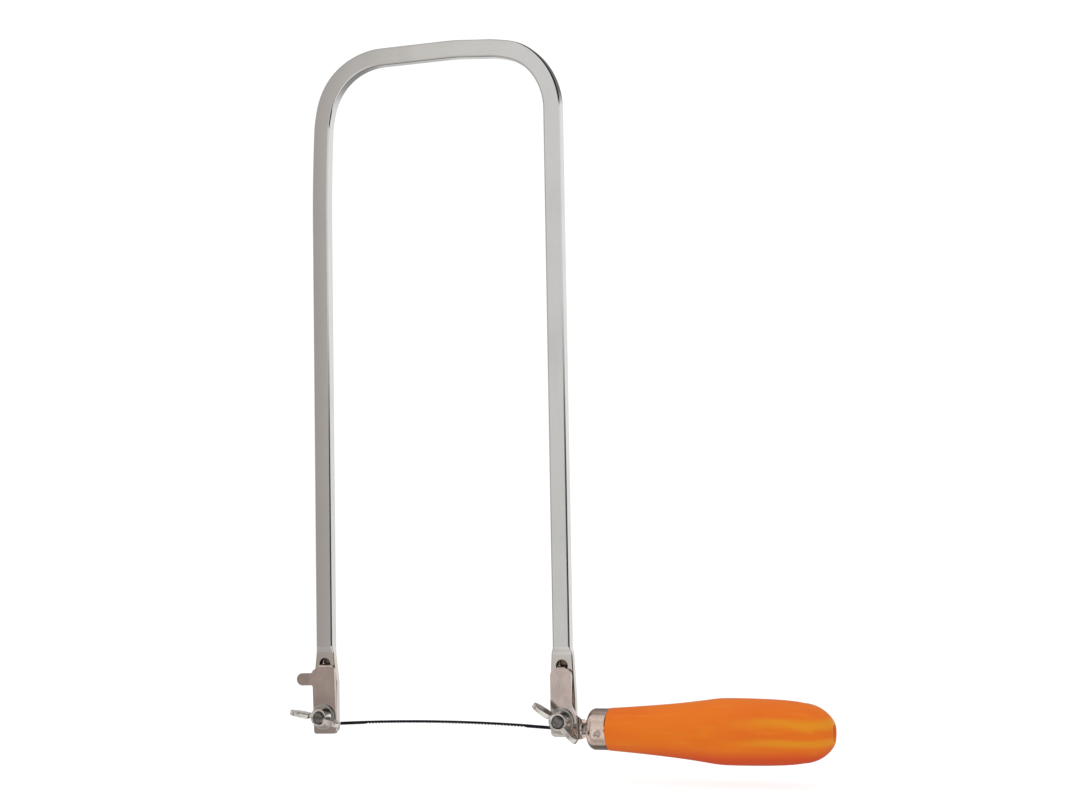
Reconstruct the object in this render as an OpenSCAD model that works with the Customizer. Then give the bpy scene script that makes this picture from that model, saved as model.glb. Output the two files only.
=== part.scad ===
// Deep-bow fret saw: a bent steel bow, two hooked clamp plates with wing nuts, a fine blade
// and a turned wooden handle in a steel ferrule.
// X runs from the toe clamp to the butt of the handle, Y from the front to the back, Z up the bow.
// The origin is the middle of the grip, on the handle's axis.

/* [Bow] */
// Clear depth from the handle's axis to the underside of the top bar
throat_depth = 300; // [240:1:360]
// Width of the bar, in the plane of the bow
bar_w = 8; // [7:0.1:9]
// Thickness of the bar, front to back
bar_t = 5.3; // [4.4:0.1:6.4]
// Rounding of the bar's four edges
bar_edge_r = 0.8; // [0.4:0.1:1.2]
// Radius of the two bends, to the middle of the bar
bend_r = 31.5; // [22:0.5:44]
// Width of the forged flat ends
end_w = 11.6; // [10.6:0.1:12.4]
// Thickness of the forged flat ends
end_t = 3.4; // [2.6:0.1:4.2]
// Rounding of the long edges of the flat ends
end_edge_r = 0.6; // [0.3:0.1:1]
// Rounding of the lower corners of the flat ends
end_corner_r = 2.2; // [1:0.1:3]
// Length over which the bar is forged thinner
slope_len = 3.4; // [2:0.1:6]
// Height of that slope's foot above the middle of the hook hole
slope_above_hook = 4.9; // [3.6:0.1:6]
// Length over which the toe's flat end still widens
toe_flare_len = 13; // [8:0.1:18]
// Length over which the heel's flat end still widens
heel_flare_len = 20; // [10:0.1:22]
// Depth of the flat end below the bolt
end_below_bolt = 7; // [5.4:0.1:8]

/* [Clamps] */
// Diameter of the clamp bolts
bolt_d = 5; // [4:0.1:5.5]
// Height of the bolts above the handle's axis
bolt_rise = 3.5; // [2.8:0.1:5]
// Distance from a bolt up to the middle of its hook hole
hook_rise = 23.6; // [19:0.1:29]
// Diameter of the hook holes
hook_hole_d = 5.3; // [4.8:0.1:6]
// Thickness of the clamp plates' sheet
plate_t = 1.5; // [1.2:0.1:1.8]
// Inner radius of the plates' bends
plate_bend_r = 0.6; // [0.4:0.1:1]
// Width of the toe plate
toe_plate_w = 11.2; // [10:0.1:12]
// Width of the heel plate
heel_plate_w = 9.8; // [9:0.1:11]
// Depth of the toe plate below its bolt
toe_plate_below_bolt = 7.6; // [6.4:0.1:9]
// Depth of the heel plate below its bolt
heel_plate_below_bolt = 5.7; // [5.4:0.1:7]
// Angle that the toe plate was left at, its lower end towards the handle
toe_plate_lean = 1.5; // [0:0.1:2]
// How far the heel plate's shoulders stay below its tongue
heel_shoulder_drop = 0.8; // [0:0.1:1.2]
// Rounding of the plates' upper shoulders
shoulder_r = 3.4; // [2:0.1:3.8]
// Rounding of the plates' lower corners
plate_corner_r = 1.3; // [0.6:0.1:2]
// Width of the tongue that hooks into the bow
tongue_w = 3.5; // [3:0.1:3.8]
// How far the tongue's end is turned up behind the bow
hook_up = 2.4; // [2:0.1:2.6]
// Length of the thumb tab beside the toe plate
tab_len = 7.9; // [6:0.1:11]
// Height of the thumb tab
tab_h = 5.6; // [4.5:0.1:7]
// Distance from the hook hole's middle down to the tab's middle
tab_below_hook = 6.6; // [6:0.1:9]
// Fillets where the tab leaves the plate
tab_fillet_r = 0.8; // [0.4:0.1:1.2]
// Distance from the heel bolt to the outer face of the handle lug
lug_reach = 8.8; // [8.4:0.1:11]
// Radius of the lug's rounded end
lug_r = 4.2; // [3.6:0.1:4.8]
// Height over which the heel plate flares out above the lug
lug_flare_rise = 7.5; // [5:0.1:9]

/* [Bolts, washers and wing nuts] */
// Diameter of the bolts' domed heads
bolt_head_d = 10; // [8:0.1:10.4]
// Height of the bolts' domed heads
bolt_head_h = 2.4; // [1.6:0.1:3]
// How far a bolt stands out of its wing nut
bolt_past = 0.5; // [0.2:0.1:2]
// Outer diameter of the washers
washer_d = 11.4; // [9.6:0.1:12]
// Thickness of the washers
washer_t = 0.9; // [0.6:0.1:1.2]
// Diameter of a nut's hub where it meets the washer
nut_base_d = 9.6; // [8.8:0.1:10.4]
// Diameter of a nut's hub at its front
nut_front_d = 8.2; // [7.4:0.1:8.7]
// Countersink at the front of a nut's bore
nut_sink = 0.5; // [0.2:0.1:0.7]
// Height of a nut's hub
nut_h = 4.2; // [3.6:0.1:6]
// Reach of a wing's tip from the bolt's axis
wing_reach = 12.5; // [11:0.1:13.5]
// Width of a wing across its flat side
wing_w = 5.6; // [4.4:0.1:6]
// Thickness of a wing at its root
wing_root_t = 3.4; // [2.8:0.1:3.8]
// Thickness of a wing at its round tip
wing_tip_t = 2.7; // [2:0.1:2.8]
// Forward slant of the wings
wing_slant = 27; // [14:1:34]
// Angle that the toe nut was left at
toe_nut_turn = -13; // [-80:1:80]
// Angle that the heel nut was left at
heel_nut_turn = -39; // [-80:1:80]

/* [Blade] */
// Length of the blade
blade_len = 125; // [110:1:140]
// How far the blade reaches past the middle of each arm
blade_hold = 5.5; // [4.5:0.1:6]
// Height of the blade, teeth included
blade_h = 1.4; // [1:0.1:2]
// Thickness of the blade
blade_t = 0.45; // [0.3:0.05:0.7]
// How far the slack blade's middle stands above its clamped ends
blade_rise = 2; // [0.5:0.1:4]
// Length of each plain end of the blade
plain_len = 23; // [15:0.5:30]
// Distance of the toothed stretch's middle from the blade's middle, towards the handle
toothed_shift = 1.7; // [0:0.1:4]
// Distance from tooth to tooth
tooth_pitch = 1.55; // [1.2:0.05:2.4]
// Depth of the teeth
tooth_depth = 0.45; // [0.3:0.05:0.6]

/* [Handle] */
// Distance of the handle's axis behind the middle of the bow
handle_y = 1; // [0.8:0.1:2]
// Length of the bare neck between the lug and the ferrule
neck_len = 2.6; // [1.2:0.1:4]
// Diameter of the tang
tang_d = 5; // [4.4:0.1:5.6]
// Length of the tang behind the lug
tang_len = 70; // [50:1:85]
// Diameter of the tang's riveted end, through the lug
rivet_d = 4; // [3.2:0.1:4.2]
// Length of the ferrule
ferrule_len = 9.3; // [8:0.1:14]
// Outer diameter of the ferrule
ferrule_d = 17.9; // [17:0.1:19]
// Wall of the ferrule
ferrule_wall = 0.9; // [0.6:0.1:1.2]
// Rounding of the ferrule's front
ferrule_round_r = 3.2; // [2:0.1:4]
// Diameter of the brad's countersunk dimple in the ferrule
dimple_d = 4.8; // [4:0.1:5.4]
// Diameter of the brad that pins the ferrule
pin_d = 1.6; // [1.2:0.1:2]
// Length of the brad
pin_len = 5; // [4:0.1:5.6]
// Angle of the brad below the ferrule's front
pin_turn = 5; // [0:1:20]
// Length of the wooden grip behind the ferrule
handle_len = 97; // [90:0.1:120]
// Diameter of the grip where it meets the ferrule
grip_neck_d = 18.2; // [18:0.1:20]
// Diameter of the grip at its swell
swell_d = 28; // [25:0.1:32]
// Distance of the swell from the ferrule
swell_at = 54.1; // [48:0.5:62]
// Diameter where the butt starts to round off
butt_shoulder_d = 24.8; // [22:0.1:25]
// Length of the rounded butt
butt_len = 12.2; // [10:0.1:16]
// Diameter of the flat at the butt's end
butt_flat_d = 9; // [8.4:0.1:12]
// Diameter of the shallow hole in the butt
butt_hole_d = 7.4; // [5:0.1:7.8]
// Depth of the shallow hole in the butt
butt_hole_depth = 1.4; // [0.6:0.1:4]

/* [Hidden] */
$fn = 64;
blend_fn = 32;

// Finishes
nickel = [0.74, 0.70, 0.67];
plate_nickel = [0.70, 0.65, 0.61];
zinc = [0.58, 0.60, 0.57];
dark_steel = [0.40, 0.39, 0.38];
blued_steel = [0.15, 0.17, 0.21];
orange_lacquer = [0.91, 0.45, 0.12];

// Overrun of every cut
cut = 1;
// How far a forged blend is sunk into its neighbours, and how far it stays inside their faces
lap = 0.5;
seam = 0.03;
// Clearances
hook_play = 0.28;
hook_back_gap = 0.3;
shoulder_play = 0.15;
plate_hole_play = 0.4;
washer_play = 0.25;
thread_play = 0.06;
neck_play = 0.1;
blade_gap = 0.25;
lug_hole_play = 0.05;
tang_play = 0.1;
ferrule_fit = 0.05;
tenon_gap = 0.3;
pin_play = 0.05;

// Bow
arm_spacing = blade_len - 2 * blade_hold;
arm_x = arm_spacing / 2;
bar_z = throat_depth + bar_w / 2;
bend_z = bar_z - bend_r;
bolt_z = bolt_rise;
hook_z = bolt_z + hook_rise;
slope_base_z = hook_z + slope_above_hook;
slope_top_z = slope_base_z + slope_len;
end_base_z = bolt_z - end_below_bolt;
toe_flare_share = 0.2;
heel_flare_share = 0.47;

// Stack of the clamps along the bolts, from the bow to the front
end_front_y = -end_t / 2;
end_back_y = end_t / 2;
plate_back_y = end_front_y - blade_t;
plate_front_y = plate_back_y - plate_t;
washer_front_y = plate_front_y - washer_t;
nut_front_y = washer_front_y - nut_h;
bolt_end_y = nut_front_y - bolt_past;
bolt_chamfer_share = 0.125;
bolt_chamfer = bolt_d * bolt_chamfer_share;
bolt_neck_share = 0.9;
bolt_neck_len = end_t * bolt_neck_share;

// Hooks of the clamp plates
hook_r = hook_hole_d / 2;
plate_bend_out = plate_bend_r + plate_t;
tongue_base_z = hook_z - sqrt(pow(hook_r - hook_play, 2) - pow(tongue_w / 2, 2));
tongue_top_z = tongue_base_z + plate_t;
hook_bend_y = plate_back_y + plate_bend_r;
hook_bend_z = tongue_base_z - plate_bend_r;
upturn_y = end_back_y + hook_back_gap;
upturn_top_z = tongue_top_z + hook_up;
upturn_bend_y = upturn_y - plate_bend_r;
upturn_bend_z = tongue_top_z + plate_bend_r;

// Handle lug of the heel plate
lug_out_x = arm_x + lug_reach;
lug_bend_dx = lug_reach - plate_bend_out;
lug_bend_y = plate_front_y + plate_bend_out;
lug_flare_dx = lug_reach - heel_plate_w / 2;
lug_flare_r = (pow(lug_flare_dx, 2) + pow(lug_flare_rise, 2)) / (2 * lug_flare_dx);

// Blade
blade_z = bolt_z - bolt_d / 2 - blade_gap - blade_h / 2;
blade_arc_r = (pow(arm_x, 2) + pow(blade_rise, 2)) / (2 * blade_rise);
blade_back_steps = 40;
blade_end_steps = 4;
tooth_count = floor((blade_len - 2 * plain_len) / tooth_pitch);
toothed_start = toothed_shift - tooth_count * tooth_pitch / 2;
tooth_tip_share = 0.62;
tooth_face_share = 0.7;

// Handle
ferrule_x = lug_out_x + neck_len;
wood_x = ferrule_x + ferrule_len;
grip_x = wood_x + handle_len / 2;
ferrule_bore_r = ferrule_d / 2 - ferrule_wall;
tenon_r = ferrule_bore_r - ferrule_fit;
tenon_len = ferrule_len - ferrule_wall - tenon_gap;
tenon_round_r = ferrule_round_r - ferrule_wall;
rivet_head_d = tang_d;
rivet_head_share = 0.2;
rivet_head_h = rivet_d * rivet_head_share;
tang_tip_len = tang_d;
tang_tip_share = 0.6;
pin_share = 0.58;
pin_x = ferrule_x + ferrule_len * pin_share;
pin_head_share = 0.6;
lip_share = 0.05;
lip_r = grip_neck_d * lip_share;
neck_run_share = 0.87;
neck_gain_share = 0.65;
swell_lead_share = 0.23;
swell_trail_share = 0.82;
butt_slope_share = 0.098;
butt_lead_share = 0.16;
butt_tangent_share = 0.72;
butt_turn_share = 0.08;
curve_steps = 14;

// Puts the saw, drawn about the middle of its blade, with its origin in the grip
module about_grip() {
    translate([-grip_x, -handle_y, 0]) children();
}

// Extrudes an outline drawn in X and Z, from one Y to another
module front_prism(from_y, to_y) {
    translate([0, to_y, 0]) rotate([90, 0, 0]) linear_extrude(to_y - from_y) children();
}

// Extrudes an outline drawn in Y and Z along X, to both sides of the middle
module side_prism(w) {
    rotate([90, 0, 90]) linear_extrude(w, center = true) children();
}

// Revolves an outline of radius and length round an axis that runs along X
module turned(x, y) {
    translate([x, y, 0]) rotate([0, 90, 0]) rotate_extrude() children();
}

// Places a piece on a bolt, with its own Z running forward along the bolt
module on_bolt(x, y) {
    translate([x, y, bolt_z]) rotate([90, 0, 0]) children();
}

// Bar section with four rounded edges
module bar_section(w, t, r) {
    square([w - 2 * r, t], center = true);
    square([w, t - 2 * r], center = true);
    for (x = [-1, 1], y = [-1, 1])
        translate([x * (w / 2 - r), y * (t / 2 - r)]) circle(r);
}

// Outline that stands on its base, with one radius for its lower and one for its upper corners
module rounded_plate(w, base_z, top_z, low_r, high_r) {
    translate([-w / 2, base_z + low_r]) square([w, top_z - high_r - base_z - low_r]);
    translate([-w / 2 + low_r, base_z]) square([w - 2 * low_r, low_r]);
    translate([-w / 2 + high_r, top_z - high_r]) square([w - 2 * high_r, high_r]);
    for (x = [-1, 1]) {
        translate([x * (w / 2 - low_r), base_z + low_r]) circle(low_r);
        translate([x * (w / 2 - high_r), top_z - high_r]) circle(high_r);
    }
}

// Quarter of a bent sheet, from the left of its centre to above it
module bend_quarter(inner_r, outer_r) {
    intersection() {
        difference() {
            circle(outer_r);
            circle(inner_r);
        }
        translate([-outer_r, 0]) square(outer_r);
    }
}

// Section just inside another, given as its width, thickness and edge radius
module sunk_section(size, depth) {
    bar_section(size[0] - 2 * depth, size[1] - 2 * depth, size[2] - depth, $fn = blend_fn);
}

// Forged change from one section of the bar up to the next, both ends sunk inside their neighbours
module forged_blend(base_z, base_size, top_z, top_size) {
    hull() {
        translate([0, 0, base_z - lap]) linear_extrude(lap) sunk_section(base_size, seam);
        translate([0, 0, top_z]) linear_extrude(lap) sunk_section(top_size, seam);
    }
}

// One arm of the bow, from its bend down to its flat end, which widens at once by a share of its flare
// and by the rest along a length
module bow_arm(flare_len, flare_share) {
    flat_top_z = slope_base_z - flare_len;
    flare_w = bar_w + (end_w - bar_w) * flare_share;
    translate([0, 0, slope_top_z]) linear_extrude(bend_z - slope_top_z)
        bar_section(bar_w, bar_t, bar_edge_r);
    forged_blend(slope_base_z, [flare_w, end_t, end_edge_r], slope_top_z, [bar_w, bar_t, bar_edge_r]);
    forged_blend(flat_top_z, [end_w, end_t, end_edge_r], slope_base_z, [flare_w, end_t, end_edge_r]);
    intersection() {
        translate([0, 0, end_base_z]) linear_extrude(flat_top_z - end_base_z)
            bar_section(end_w, end_t, end_edge_r);
        front_prism(-end_t, end_t)
            rounded_plate(end_w, end_base_z, flat_top_z + cut, end_corner_r, end_edge_r);
    }
}

// Holes of a flat end: a round one for the hook and a square one for the bolt's neck
module bow_end_holes() {
    translate([0, 0, hook_z]) rotate([90, 0, 0])
        cylinder(d = hook_hole_d, h = end_t + 2 * cut, center = true);
    translate([0, 0, bolt_z])
        cube([bolt_d + 2 * neck_play, end_t + 2 * cut, bolt_d + 2 * neck_play], center = true);
}

// Flat bar bent into a deep bow, its ends forged flat and pierced
module bow_frame() {
    color(nickel) about_grip() {
        translate([0, 0, bar_z]) rotate([0, 90, 0])
            linear_extrude(arm_spacing - 2 * bend_r, center = true)
                bar_section(bar_w, bar_t, bar_edge_r);
        for (side = [0, 1]) mirror([side, 0, 0]) {
            translate([arm_x - bend_r, 0, bend_z]) rotate([90, 0, 0])
                rotate_extrude(angle = 90) translate([bend_r, 0])
                    bar_section(bar_w, bar_t, bar_edge_r);
            translate([arm_x, 0, 0]) difference() {
                bow_arm(side ? toe_flare_len : heel_flare_len, side ? toe_flare_share : heel_flare_share);
                bow_end_holes();
            }
        }
    }
}

// Section through a clamp plate: flat sheet, bend at its top, tongue that reaches back and turns up
module hook_section(base_z) {
    translate([plate_front_y, base_z]) square([plate_t, hook_bend_z - base_z]);
    translate([hook_bend_y, hook_bend_z]) bend_quarter(plate_bend_r, plate_bend_out);
    translate([hook_bend_y, tongue_base_z]) square([upturn_bend_y - hook_bend_y, plate_t]);
    translate([upturn_bend_y, upturn_bend_z]) rotate(180) bend_quarter(plate_bend_r, plate_bend_out);
    translate([upturn_y, upturn_bend_z]) square([plate_t, upturn_top_z - upturn_bend_z]);
}

// Clamp plate of one outline: the wide sheet stops short of the bow, the tongue goes through it
module hooked_plate(base_z) {
    intersection() {
        side_prism(2 * arm_spacing) hook_section(base_z);
        front_prism(plate_front_y - cut, end_front_y - shoulder_play) children();
    }
    intersection() {
        side_prism(tongue_w) hook_section(base_z);
        translate([-tongue_w, plate_front_y, hook_bend_z])
            cube([2 * tongue_w, upturn_y + plate_t - plate_front_y, upturn_top_z - hook_bend_z]);
    }
}

module plate_bolt_hole() {
    on_bolt(0, plate_back_y + cut) cylinder(d = bolt_d + 2 * plate_hole_play, h = plate_t + 2 * cut);
}

// Thumb tab beside the toe plate, with a round end and a fillet above and below its root
module thumb_tab() {
    root_x = -toe_plate_w / 2;
    tab_z = hook_z - tab_below_hook;
    tab_r = tab_h / 2;
    translate([root_x - tab_len + tab_r, tab_z - tab_r]) square([tab_len, tab_h]);
    translate([root_x - tab_len + tab_r, tab_z]) circle(tab_r);
    for (side = [0, 1]) translate([root_x, tab_z]) mirror([0, side]) difference() {
        translate([-tab_fillet_r, tab_r]) square(tab_fillet_r);
        translate([-tab_fillet_r, tab_r + tab_fillet_r]) circle(tab_fillet_r);
    }
}

module toe_clamp_plate() {
    base_z = bolt_z - toe_plate_below_bolt;
    color(plate_nickel) about_grip() translate([-arm_x, 0, 0]) difference() {
        hooked_plate(base_z - plate_corner_r)
            translate([0, hook_z]) rotate(toe_plate_lean) translate([0, -hook_z]) {
                rounded_plate(toe_plate_w, base_z, tongue_top_z, plate_corner_r, shoulder_r);
                thumb_tab();
            }
        plate_bolt_hole();
    }
}

// Front outline of the heel plate, whose lower part flares out to the handle lug
module heel_outline(base_z) {
    rounded_plate(heel_plate_w, base_z, tongue_top_z - heel_shoulder_drop, plate_corner_r, shoulder_r);
    difference() {
        translate([0, -lug_r]) square([lug_reach, 2 * lug_r + lug_flare_rise]);
        translate([heel_plate_w / 2 + lug_flare_r, lug_r + lug_flare_rise]) circle(lug_flare_r);
        polygon([[-cut, -lug_r - cut], [lug_bend_dx, -lug_r - cut],
            [lug_bend_dx, -lug_r], [0, base_z], [-cut, base_z]]);
    }
}

// Lug bent back from the heel plate, with a rounded end round the tang
module handle_lug() {
    translate([lug_reach - plate_t / 2, 0, 0]) side_prism(plate_t) {
        translate([lug_bend_y, -lug_r]) square([handle_y - lug_bend_y, 2 * lug_r]);
        translate([handle_y, 0]) circle(lug_r);
    }
}

// Section, seen from above, of the bend between the heel plate and its lug
module lug_bend_section() {
    translate([lug_bend_dx, lug_bend_y]) rotate(180)
        bend_quarter(plate_bend_r, plate_bend_out);
}

module heel_clamp_plate() {
    base_z = bolt_z - heel_plate_below_bolt;
    color(plate_nickel) about_grip() translate([arm_x, 0, 0]) difference() {
        union() {
            hooked_plate(base_z - lug_r) intersection() {
                heel_outline(base_z);
                translate([-arm_spacing, -throat_depth])
                    square([arm_spacing + lug_bend_dx, 2 * throat_depth]);
            }
            intersection() {
                translate([0, 0, -lug_r]) linear_extrude(2 * lug_r + lug_flare_rise) lug_bend_section();
                front_prism(plate_front_y - cut, lug_bend_y + cut) heel_outline(base_z);
            }
            handle_lug();
        }
        plate_bolt_hole();
        translate([lug_reach, handle_y, 0]) rotate([0, 90, 0])
            cylinder(d = rivet_d + 2 * lug_hole_play, h = 2 * plate_t + 2 * cut, center = true);
    }
}

// Bolt with a domed head behind the bow and a square neck that keeps it from turning
module clamp_bolt() {
    head_r = bolt_head_d / 2;
    dome_r = (pow(head_r, 2) + pow(bolt_head_h, 2)) / (2 * bolt_head_h);
    on_bolt(0, end_back_y) mirror([0, 0, 1]) rotate_extrude() intersection() {
        translate([0, bolt_head_h - dome_r]) circle(dome_r);
        square([head_r, bolt_head_h]);
    }
    translate([0, end_back_y - bolt_neck_len / 2, bolt_z])
        cube([bolt_d, bolt_neck_len, bolt_d], center = true);
    on_bolt(0, end_back_y) cylinder(d = bolt_d, h = end_back_y - bolt_end_y - bolt_chamfer);
    on_bolt(0, bolt_end_y + bolt_chamfer)
        cylinder(d1 = bolt_d, d2 = bolt_d - 2 * bolt_chamfer, h = bolt_chamfer);
}

module toe_clamp_bolt() {
    color(dark_steel) about_grip() translate([-arm_x, 0, 0]) clamp_bolt();
}

module heel_clamp_bolt() {
    color(dark_steel) about_grip() translate([arm_x, 0, 0]) clamp_bolt();
}

// Flat washer between a clamp plate and its wing nut
module flat_washer() {
    on_bolt(0, plate_front_y) difference() {
        cylinder(d = washer_d, h = washer_t);
        translate([0, 0, -cut]) cylinder(d = bolt_d + 2 * washer_play, h = washer_t + 2 * cut);
    }
}

module toe_washer() {
    color(zinc) about_grip() translate([-arm_x, 0, 0]) flat_washer();
}

module heel_washer() {
    color(zinc) about_grip() translate([arm_x, 0, 0]) flat_washer();
}

// One wing: a round-ended ear that leaves the hub, slants forward and thins towards its tip
module nut_wing() {
    side_r = wing_w / 2;
    side_run = (wing_reach - side_r) / cos(wing_slant);
    plan_r = wing_tip_t / 2;
    plan_run = wing_reach - plan_r;
    root_r = wing_root_t / 2;
    intersection() {
        rotate([90, 0, 0]) linear_extrude(wing_root_t, center = true)
            translate([0, nut_h / 2]) rotate(wing_slant) {
                translate([0, -side_r]) square([side_run, wing_w]);
                translate([side_run, 0]) circle(side_r);
            }
        linear_extrude(nut_h + wing_reach) {
            polygon([[0, -root_r], [plan_run, -plan_r], [plan_run, plan_r], [0, root_r]]);
            translate([plan_run, 0]) circle(plan_r);
        }
    }
}

// Wing nut: conical hub with two wings and a plain bore in place of its thread
module wing_nut(turn) {
    bore_d = bolt_d + 2 * thread_play;
    on_bolt(0, washer_front_y) rotate(turn) difference() {
        union() {
            cylinder(d1 = nut_base_d, d2 = nut_front_d, h = nut_h);
            for (side = [0, 180]) rotate(side) difference() {
                nut_wing();
                translate([0, 0, nut_h]) cylinder(d = nut_front_d, h = wing_reach);
            }
        }
        translate([0, 0, -cut]) cylinder(d = bore_d, h = wing_reach);
        translate([0, 0, nut_h - nut_sink]) cylinder(d1 = bore_d, d2 = bore_d + 2 * nut_sink, h = nut_sink);
    }
}

module toe_wing_nut() {
    color(nickel) about_grip() translate([-arm_x, 0, 0]) wing_nut(toe_nut_turn);
}

module heel_wing_nut() {
    color(nickel) about_grip() translate([arm_x, 0, 0]) wing_nut(heel_nut_turn);
}

// Height of the slack blade's middle line at a distance from the middle of the bow
function blade_line(x) = blade_z + blade_rise - blade_arc_r + sqrt(pow(blade_arc_r, 2) - pow(x, 2));

// A point of the blade at a height above or below its middle line
function blade_point(x, dz) = [x, blade_line(x) + dz];

// Fine blade with plain ends, its teeth raked towards the handle
module saw_blade() {
    low = -blade_h / 2;
    back = [for (i = [0 : blade_back_steps])
        blade_point(blade_len * (i / blade_back_steps - 1 / 2), blade_h / 2)];
    toe_end = [for (i = [0 : blade_end_steps])
        blade_point(-blade_len / 2 + (toothed_start + blade_len / 2) * i / blade_end_steps, low)];
    teeth = [for (i = [0 : tooth_count - 1], corner = [
            [0, tooth_depth], [tooth_tip_share, 0], [tooth_face_share, tooth_depth]])
        blade_point(toothed_start + (i + corner[0]) * tooth_pitch, low + corner[1])];
    toothed_end = toothed_start + tooth_count * tooth_pitch;
    heel_end = [for (i = [0 : blade_end_steps])
        blade_point(toothed_end + (blade_len / 2 - toothed_end) * i / blade_end_steps, low)];
    edge = concat(toe_end, teeth, heel_end);
    outline = concat(back, [for (i = [len(edge) - 1 : -1 : 0]) edge[i]]);
    color(blued_steel) about_grip() front_prism(plate_back_y, end_front_y) polygon(outline);
}

// Steel tang: riveted through the lug, then straight into the wood
module tang() {
    straight = tang_len - tang_tip_len;
    color(dark_steel) about_grip() turned(lug_out_x, handle_y) {
        translate([0, -plate_t - rivet_head_h]) square([rivet_head_d / 2, rivet_head_h]);
        translate([0, -plate_t - rivet_head_h / 2]) square([rivet_d / 2, plate_t + rivet_head_h]);
        square([tang_d / 2, straight]);
        polygon([[0, straight], [tang_d / 2, straight],
            [tang_d / 2 * tang_tip_share, tang_len], [0, tang_len]]);
    }
}

// Solid of a round cup's outside: a rounded front edge, then a straight skirt
module cup_section(r, edge_r, length) {
    square([r - edge_r, length]);
    translate([0, edge_r]) square([r, length - edge_r]);
    translate([r - edge_r, edge_r]) intersection() {
        circle(edge_r);
        translate([0, -edge_r]) square(edge_r);
    }
}

// Turns to where the brad goes in, a depth below the ferrule's outside
module at_pin(depth) {
    translate([pin_x, handle_y, 0]) rotate([pin_turn, 0, 0])
        translate([0, depth - ferrule_d / 2, 0]) rotate([-90, 0, 0]) children();
}

// Domed cup on the front of the wood, dimpled and pierced for its brad
module ferrule() {
    color(nickel) about_grip() difference() {
        turned(ferrule_x, handle_y) difference() {
            cup_section(ferrule_d / 2, ferrule_round_r, ferrule_len);
            translate([0, ferrule_wall])
                cup_section(ferrule_bore_r, tenon_round_r, ferrule_len);
            translate([0, -cut]) square([tang_d / 2 + tang_play, ferrule_wall + 2 * cut]);
        }
        at_pin(0) {
            cylinder(d1 = dimple_d, d2 = pin_d + 2 * pin_play, h = ferrule_wall);
            cylinder(d = pin_d + 2 * pin_play, h = 2 * ferrule_wall);
        }
    }
}

// Brad that pins the ferrule, its head sunk in the dimple
module ferrule_pin() {
    head_h = ferrule_wall * pin_head_share;
    head_d = pin_d + (dimple_d - pin_d) * pin_head_share - 2 * pin_play;
    color(dark_steel) about_grip() at_pin(ferrule_wall - head_h) {
        cylinder(d1 = head_d, d2 = pin_d, h = head_h);
        cylinder(d = pin_d, h = pin_len);
    }
}

// Point on a cubic curve
function curve_point(p, t) = pow(1 - t, 3) * p[0] + 3 * pow(1 - t, 2) * t * p[1]
    + 3 * (1 - t) * pow(t, 2) * p[2] + pow(t, 3) * p[3];

// Points along a cubic curve, without its first one
function curve_points(p) = [for (i = [1 : curve_steps]) curve_point(p, i / curve_steps)];

// Half outline of the grip: lip, slim neck, swell, rounded butt
function grip_outline() =
    let (
        neck_r = grip_neck_d / 2,
        swell_r = swell_d / 2,
        shoulder_radius = butt_shoulder_d / 2,
        shoulder_at = handle_len - butt_len,
        trail = (shoulder_at - swell_at) * swell_trail_share,
        lead = butt_len * butt_lead_share,
        tangent = butt_len * butt_tangent_share,
        neck_rise = (swell_r - neck_r) * neck_gain_share,
        lip = [for (i = [0 : curve_steps])
            [neck_r - lip_r * (1 - sin(90 * i / curve_steps)), lip_r * (1 - cos(90 * i / curve_steps))]],
        neck = curve_points([[neck_r, lip_r], [neck_r + neck_rise, swell_at * neck_run_share],
            [swell_r, swell_at * (1 - swell_lead_share)], [swell_r, swell_at]]),
        swell = curve_points([[swell_r, swell_at], [swell_r, swell_at + trail],
            [shoulder_radius + lead * butt_slope_share, shoulder_at - lead], [shoulder_radius, shoulder_at]]),
        butt = curve_points([[shoulder_radius, shoulder_at],
            [shoulder_radius - tangent * butt_slope_share, shoulder_at + tangent],
            [butt_flat_d / 2 * (1 + butt_turn_share), handle_len], [butt_flat_d / 2, handle_len]])
    )
    concat([[0, 0]], lip, neck, swell, butt, [[0, handle_len]]);

// Turned and lacquered wooden grip, with a tenon in the ferrule and a bore for the tang
module handle() {
    bore_len = lug_out_x + tang_len - ferrule_x;
    color(orange_lacquer) about_grip() difference() {
        turned(wood_x, handle_y) difference() {
            union() {
                polygon(grip_outline());
                translate([0, -tenon_len]) cup_section(tenon_r, tenon_round_r, tenon_len + lip_r);
            }
            translate([0, handle_len - butt_hole_depth]) square([butt_hole_d / 2, butt_hole_depth + cut]);
            translate([0, -ferrule_len]) square([tang_d / 2 + tang_play, bore_len + tang_play]);
        }
        at_pin(0) cylinder(d = pin_d + 2 * pin_play, h = ferrule_wall + pin_len);
    }
}

bow_frame();
toe_clamp_plate();
heel_clamp_plate();
toe_clamp_bolt();
heel_clamp_bolt();
toe_washer();
heel_washer();
toe_wing_nut();
heel_wing_nut();
saw_blade();
tang();
ferrule();
ferrule_pin();
handle();
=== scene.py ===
import math

import bmesh
import bpy
from mathutils import Matrix, Vector
from mathutils.geometry import interpolate_bezier


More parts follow.
